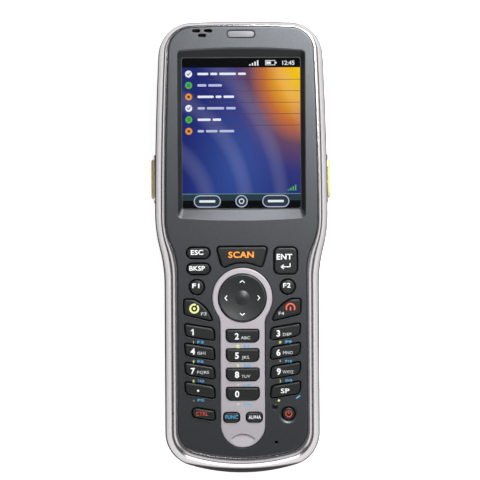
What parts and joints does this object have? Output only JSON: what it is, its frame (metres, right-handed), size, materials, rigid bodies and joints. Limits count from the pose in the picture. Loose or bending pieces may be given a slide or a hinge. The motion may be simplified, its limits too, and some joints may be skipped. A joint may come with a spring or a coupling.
{
  "type": "handheld barcode data terminal",
  "caption": "Handheld data terminal with a portrait touch display, a full keypad round a navigation pad, amber side scan triggers and a rear battery door.",
  "frame": {"origin": "on the rear face's plane, under the middle of the outline, with the terminal on its back", "axes": "+Z out of the display, +Y to the scan end, +X to the reader's right"},
  "size_m": [0.0694, 0.174, 0.0291],
  "materials": {
    "rear_shell": "moulded, fine texture",
    "silver_paint": "satin silver lacquer",
    "bezel_paint": "gunmetal lacquer",
    "inlay_paint": "satin lilac-grey lacquer",
    "seal_foam": "closed-cell foam",
    "touch_glass": "clear, anti-glare",
    "lit_screen": "lit display",
    "light_pipe": "frosted",
    "dark_lens": "tinted, polished",
    "black_plastic": "moulded",
    "black_rubber": "matt",
    "silicone": "matt",
    "circuit_board": "solder mask",
    "steel": "brushed",
    "connector_black": "moulded",
    "battery_wrap": "moulded case",
    "gold": "gold flash",
    "key_plastic": "painted, laser-marked",
    "amber_rubber": "satin",
    "stylus_plastic": "polished"
  },
  "bodies": {
    "root": {"rear_housing": "rear_shell", "silver_trim": "silver_paint", "front_bezel": "bezel_paint", "keypad_inlay": "inlay_paint", "display_gasket": "seal_foam", "display_window": "touch_glass", "lcd_module": "lit_screen", "status_light_pipe": "light_pipe", "charge_light": "dark_lens", "speaker": "black_plastic", "microphone": "black_rubber", "keypad_mat": "silicone", "keypad_board": "circuit_board", "main_board": "circuit_board", "trigger_switches": "black_plastic", "audio_jack": "black_plastic", "card_socket": "steel", "dock_connector": "connector_black", "scan_engine": "black_plastic", "scan_window": "dark_lens", "battery_pack": "battery_wrap", "battery_contacts": "gold", "housing_gasket": "silicone", "housing_screws": "steel", "strap_bars": "steel"},
    "nav_rocker": {"nav_ball": "steel"},
    "nav_pad": {"nav_pad": "key_plastic"},
    "left_trigger": {"left_trigger": "amber_rubber"},
    "right_trigger": {"right_trigger": "amber_rubber"},
    "jack_cover": {"jack_cover": "black_rubber"},
    "card_door": {"card_door": "black_rubber"},
    "battery_door": {"battery_door": "rear_shell"},
    "battery_latch": {"battery_latch": "black_plastic"},
    "stylus": {"stylus": "stylus_plastic"},
    "esc_key": {"esc_key": "key_plastic"},
    "backspace_key": {"backspace_key": "key_plastic"},
    "scan_key": {"scan_key": "key_plastic"},
    "enter_key": {"enter_key": "key_plastic"},
    "f1_key": {"f1_key": "key_plastic"},
    "f2_key": {"f2_key": "key_plastic"},
    "send_key": {"send_key": "key_plastic"},
    "end_key": {"end_key": "key_plastic"},
    "ctrl_key": {"ctrl_key": "key_plastic"},
    "func_key": {"func_key": "key_plastic"},
    "alpha_key": {"alpha_key": "key_plastic"},
    "key_1": {"key_1": "key_plastic"},
    "key_2": {"key_2": "key_plastic"},
    "key_3": {"key_3": "key_plastic"},
    "key_4": {"key_4": "key_plastic"},
    "key_5": {"key_5": "key_plastic"},
    "key_6": {"key_6": "key_plastic"},
    "key_7": {"key_7": "key_plastic"},
    "key_8": {"key_8": "key_plastic"},
    "key_9": {"key_9": "key_plastic"},
    "key_0": {"key_0": "key_plastic"},
    "dot_key": {"dot_key": "key_plastic"},
    "space_key": {"space_key": "key_plastic"},
    "power_key": {"power_key": "key_plastic"}
  },
  "joints": [
    {"name": "nav_tilt_up_down", "type": "hinge", "parent": "root", "child": "nav_rocker", "pos_m": [0, -0.0195, 0.02415], "axis": [1, 0, 0], "range_deg": [-2.5, 2.5], "stiffness_Nm_per_rad": 0.2},
    {"name": "nav_tilt_left_right", "type": "hinge", "parent": "nav_rocker", "child": "nav_pad", "pos_m": [0, -0.0195, 0.02415], "axis": [0, 1, 0], "range_deg": [-2.5, 2.5], "stiffness_Nm_per_rad": 0.2},
    {"name": "left_trigger_press", "type": "slide", "parent": "root", "child": "left_trigger", "axis": [1, 0, 0], "range_m": [0, 0.0008], "stiffness_N_per_m": 800},
    {"name": "right_trigger_press", "type": "slide", "parent": "root", "child": "right_trigger", "axis": [-1, 0, 0], "range_m": [0, 0.0008], "stiffness_N_per_m": 800},
    {"name": "jack_cover_hinge", "type": "hinge", "parent": "root", "child": "jack_cover", "pos_m": [-0.0321, 0.04865, 0.0127], "axis": [0, 0, 1], "range_deg": [0, 95]},
    {"name": "card_door_hinge", "type": "hinge", "parent": "root", "child": "card_door", "pos_m": [0.03198, 0.05245, 0.0136], "axis": [0, 0, -1], "range_deg": [0, 95]},
    {"name": "battery_door_hinge", "type": "hinge", "parent": "root", "child": "battery_door", "pos_m": [0, -0.051, 0.00118], "axis": [-1, 0, 0], "range_deg": [0, 80]},
    {"name": "battery_latch_slide", "type": "slide", "parent": "battery_door", "child": "battery_latch", "axis": [0, 1, 0], "range_m": [0, 0.0019]},
    {"name": "stylus_slide", "type": "slide", "parent": "root", "child": "stylus", "axis": [0, 1, 0], "range_m": [0, 0.092]},
    {"name": "esc_key_press", "type": "slide", "parent": "root", "child": "esc_key", "axis": [0, 0, -1], "range_m": [0, 0.0008], "stiffness_N_per_m": 600},
    {"name": "backspace_key_press", "type": "slide", "parent": "root", "child": "backspace_key", "axis": [0, 0, -1], "range_m": [0, 0.0008], "stiffness_N_per_m": 600},
    {"name": "scan_key_press", "type": "slide", "parent": "root", "child": "scan_key", "axis": [0, 0, -1], "range_m": [0, 0.0008], "stiffness_N_per_m": 600},
    {"name": "enter_key_press", "type": "slide", "parent": "root", "child": "enter_key", "axis": [0, 0, -1], "range_m": [0, 0.0008], "stiffness_N_per_m": 600},
    {"name": "f1_key_press", "type": "slide", "parent": "root", "child": "f1_key", "axis": [0, 0, -1], "range_m": [0, 0.0008], "stiffness_N_per_m": 600},
    {"name": "f2_key_press", "type": "slide", "parent": "root", "child": "f2_key", "axis": [0, 0, -1], "range_m": [0, 0.0008], "stiffness_N_per_m": 600},
    {"name": "send_key_press", "type": "slide", "parent": "root", "child": "send_key", "axis": [0, 0, -1], "range_m": [0, 0.0008], "stiffness_N_per_m": 600},
    {"name": "end_key_press", "type": "slide", "parent": "root", "child": "end_key", "axis": [0, 0, -1], "range_m": [0, 0.0008], "stiffness_N_per_m": 600},
    {"name": "ctrl_key_press", "type": "slide", "parent": "root", "child": "ctrl_key", "axis": [0, 0, -1], "range_m": [0, 0.0008], "stiffness_N_per_m": 600},
    {"name": "func_key_press", "type": "slide", "parent": "root", "child": "func_key", "axis": [0, 0, -1], "range_m": [0, 0.0008], "stiffness_N_per_m": 600},
    {"name": "alpha_key_press", "type": "slide", "parent": "root", "child": "alpha_key", "axis": [0, 0, -1], "range_m": [0, 0.0008], "stiffness_N_per_m": 600},
    {"name": "key_1_press", "type": "slide", "parent": "root", "child": "key_1", "axis": [0, 0, -1], "range_m": [0, 0.0008], "stiffness_N_per_m": 600},
    {"name": "key_2_press", "type": "slide", "parent": "root", "child": "key_2", "axis": [0, 0, -1], "range_m": [0, 0.0008], "stiffness_N_per_m": 600},
    {"name": "key_3_press", "type": "slide", "parent": "root", "child": "key_3", "axis": [0, 0, -1], "range_m": [0, 0.0008], "stiffness_N_per_m": 600},
    {"name": "key_4_press", "type": "slide", "parent": "root", "child": "key_4", "axis": [0, 0, -1], "range_m": [0, 0.0008], "stiffness_N_per_m": 600},
    {"name": "key_5_press", "type": "slide", "parent": "root", "child": "key_5", "axis": [0, 0, -1], "range_m": [0, 0.0008], "stiffness_N_per_m": 600},
    {"name": "key_6_press", "type": "slide", "parent": "root", "child": "key_6", "axis": [0, 0, -1], "range_m": [0, 0.0008], "stiffness_N_per_m": 600},
    {"name": "key_7_press", "type": "slide", "parent": "root", "child": "key_7", "axis": [0, 0, -1], "range_m": [0, 0.0008], "stiffness_N_per_m": 600},
    {"name": "key_8_press", "type": "slide", "parent": "root", "child": "key_8", "axis": [0, 0, -1], "range_m": [0, 0.0008], "stiffness_N_per_m": 600},
    {"name": "key_9_press", "type": "slide", "parent": "root", "child": "key_9", "axis": [0, 0, -1], "range_m": [0, 0.0008], "stiffness_N_per_m": 600},
    {"name": "key_0_press", "type": "slide", "parent": "root", "child": "key_0", "axis": [0, 0, -1], "range_m": [0, 0.0008], "stiffness_N_per_m": 600},
    {"name": "dot_key_press", "type": "slide", "parent": "root", "child": "dot_key", "axis": [0, 0, -1], "range_m": [0, 0.0008], "stiffness_N_per_m": 600},
    {"name": "space_key_press", "type": "slide", "parent": "root", "child": "space_key", "axis": [0, 0, -1], "range_m": [0, 0.0008], "stiffness_N_per_m": 600},
    {"name": "power_key_press", "type": "slide", "parent": "root", "child": "power_key", "axis": [0, 0, -1], "range_m": [0, 0.0008], "stiffness_N_per_m": 600}
  ]
}
